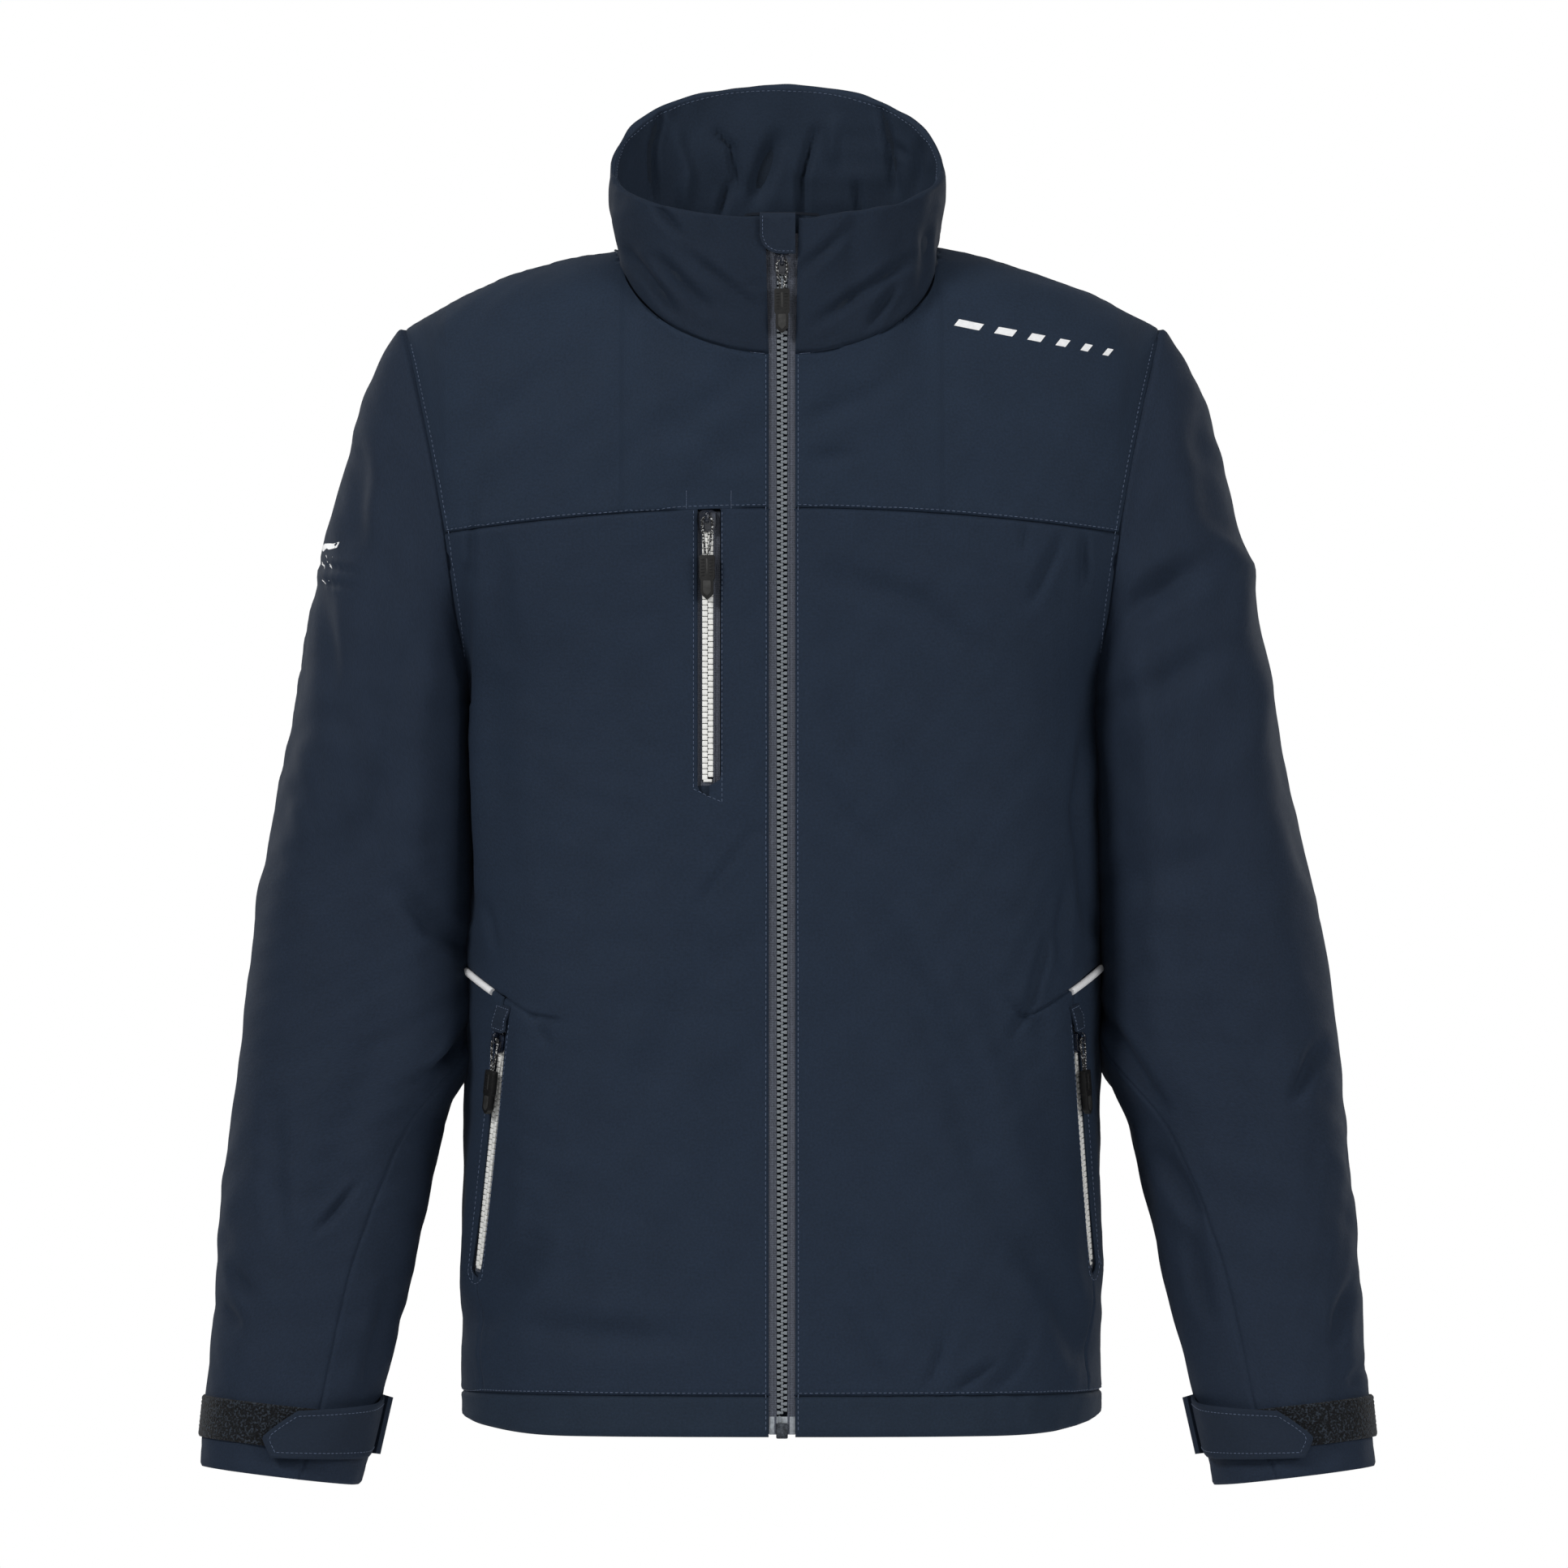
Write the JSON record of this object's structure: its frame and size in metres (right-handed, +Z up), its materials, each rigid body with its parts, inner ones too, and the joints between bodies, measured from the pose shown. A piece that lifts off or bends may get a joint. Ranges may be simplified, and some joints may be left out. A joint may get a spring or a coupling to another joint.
{
  "type": "foul weather jacket",
  "caption": "Hip-length waterproof jacket in its worn shape: stand-up collar, front zip, zipped chest and hand pockets, hook-and-loop cuff tabs.",
  "frame": {"origin": "underside of the hanger loop's bar, where a hook bears", "axes": "+Z up, +X towards the wearer's left, -Y towards the jacket's front"},
  "size_m": [0.7124, 0.28, 0.8469],
  "materials": {
    "shell": "matt woven navy shell cloth with a water-repellent face",
    "lining": "matt navy lining and trim cloth",
    "zip_tape": "woven grey zip tape",
    "main_zip_teeth": "moulded grey resin, glossy",
    "pocket_zip_teeth": "off-white moulded resin",
    "slider_metal": "dark enamelled zinc, glossy",
    "pull_cord": "black braid with reflective flecks",
    "pull_grip": "black moulded rubber, matt",
    "reflective": "pale silver retro-reflective film",
    "hook_and_loop": "dark navy looped pile"
  },
  "bodies": {
    "jacket": {"left_main_tape": "zip_tape", "left_main_teeth": "main_zip_teeth", "right_main_tape": "zip_tape", "right_main_teeth": "main_zip_teeth", "main_retainer_box": "slider_metal", "main_insertion_pin": "main_zip_teeth", "zip_garage": "shell", "storm_flap": "lining", "chest_tape": "zip_tape", "chest_teeth": "pocket_zip_teeth", "right_hand_tape": "zip_tape", "right_hand_teeth": "pocket_zip_teeth", "right_hand_garage": "shell", "left_hand_tape": "zip_tape", "left_hand_teeth": "pocket_zip_teeth", "left_hand_garage": "shell", "left_front_panel": "shell", "left_side_panel": "shell", "left_front_hem": "shell", "left_front_yoke": "shell", "right_front_panel": "shell", "right_side_panel": "shell", "right_front_hem": "shell", "right_front_yoke": "shell", "back_panel": "shell", "back_hem": "shell", "back_yoke": "shell", "collar_shell": "shell", "collar_lining": "lining", "hanger_loop": "lining", "chest_pocket_bag": "lining", "left_hand_pocket_bag": "lining", "right_hand_pocket_bag": "lining", "left_piping": "reflective", "right_piping": "reflective", "shoulder_transfer": "reflective"},
    "main_slider": {"main_slider": "slider_metal"},
    "main_pull": {"main_pull_cord": "pull_cord", "main_pull_grip": "pull_grip"},
    "chest_slider": {"chest_slider": "slider_metal"},
    "chest_pull": {"chest_pull_cord": "pull_cord", "chest_pull_grip": "pull_grip"},
    "right_hand_slider": {"right_hand_slider": "slider_metal"},
    "right_hand_pull": {"right_hand_pull_cord": "pull_cord", "right_hand_pull_grip": "pull_grip"},
    "left_hand_slider": {"left_hand_slider": "slider_metal"},
    "left_hand_pull": {"left_hand_pull_cord": "pull_cord", "left_hand_pull_grip": "pull_grip"},
    "right_upper_sleeve": {"right_upper_sleeve": "shell", "sleeve_transfer": "reflective"},
    "right_lower_sleeve": {"right_lower_sleeve": "shell", "right_cuff_loop_strip": "hook_and_loop"},
    "right_cuff_tab": {"right_cuff_tab": "shell", "right_cuff_hook_patch": "hook_and_loop"},
    "left_upper_sleeve": {"left_upper_sleeve": "shell"},
    "left_lower_sleeve": {"left_lower_sleeve": "shell", "left_cuff_loop_strip": "hook_and_loop"},
    "left_cuff_tab": {"left_cuff_tab": "shell", "left_cuff_hook_patch": "hook_and_loop"}
  },
  "joints": [
    {"name": "main_zip_slide", "type": "slide", "parent": "jacket", "child": "main_slider", "axis": [0, 0.0619, 0.9981], "range_m": [-0.69, 0]},
    {"name": "main_pull_swing", "type": "hinge", "parent": "main_slider", "child": "main_pull", "pos_m": [0, -0.14343, -0.03116], "axis": [-1, 0, 0], "range_deg": [0, 110]},
    {"name": "chest_zip_slide", "type": "slide", "parent": "jacket", "child": "chest_slider", "axis": [0, 0.059, 0.9983], "range_m": [-0.145, 0]},
    {"name": "chest_pull_swing", "type": "hinge", "parent": "chest_slider", "child": "chest_pull", "pos_m": [-0.04499, -0.15242, -0.186], "axis": [-0.9982, 0.0599, -0.0035], "range_deg": [0, 110]},
    {"name": "right_hand_zip_slide", "type": "slide", "parent": "jacket", "child": "right_hand_slider", "axis": [0.1056, -0.1477, 0.9834], "range_m": [-0.13, 0]},
    {"name": "right_hand_pull_swing", "type": "hinge", "parent": "right_hand_slider", "child": "right_hand_pull", "pos_m": [-0.17267, -0.11961, -0.49962], "axis": [-0.5289, 0.8291, 0.1813], "range_deg": [0, 110]},
    {"name": "left_hand_zip_slide", "type": "slide", "parent": "jacket", "child": "left_hand_slider", "axis": [-0.0738, -0.1463, 0.9865], "range_m": [-0.13, 0]},
    {"name": "left_hand_pull_swing", "type": "hinge", "parent": "left_hand_slider", "child": "left_hand_pull", "pos_m": [0.18115, -0.10756, -0.49964], "axis": [-0.3798, -0.9105, -0.1634], "range_deg": [0, 110]},
    {"name": "right_shoulder", "type": "hinge", "parent": "jacket", "child": "right_upper_sleeve", "pos_m": [-0.229, -0.036, -0.0715], "axis": [0, 1, 0], "range_deg": [0, 45]},
    {"name": "right_elbow", "type": "hinge", "parent": "right_upper_sleeve", "child": "right_lower_sleeve", "pos_m": [-0.255, -0.1125, -0.413], "axis": [-1, 0, 0], "range_deg": [0, 60]},
    {"name": "right_cuff_tab_peel", "type": "hinge", "parent": "right_lower_sleeve", "child": "right_cuff_tab", "pos_m": [-0.23917, -0.08214, -0.73435], "axis": [0.1547, 0.1573, 0.9754], "range_deg": [0, 95]},
    {"name": "left_shoulder", "type": "hinge", "parent": "jacket", "child": "left_upper_sleeve", "pos_m": [0.229, -0.036, -0.0715], "axis": [0, -1, 0], "range_deg": [0, 45]},
    {"name": "left_elbow", "type": "hinge", "parent": "left_upper_sleeve", "child": "left_lower_sleeve", "pos_m": [0.255, -0.1125, -0.413], "axis": [-1, 0, 0], "range_deg": [0, 60]},
    {"name": "left_cuff_tab_peel", "type": "hinge", "parent": "left_lower_sleeve", "child": "left_cuff_tab", "pos_m": [0.24617, -0.08214, -0.73435], "axis": [0.1547, -0.1573, -0.9754], "range_deg": [0, 95]}
  ]
}
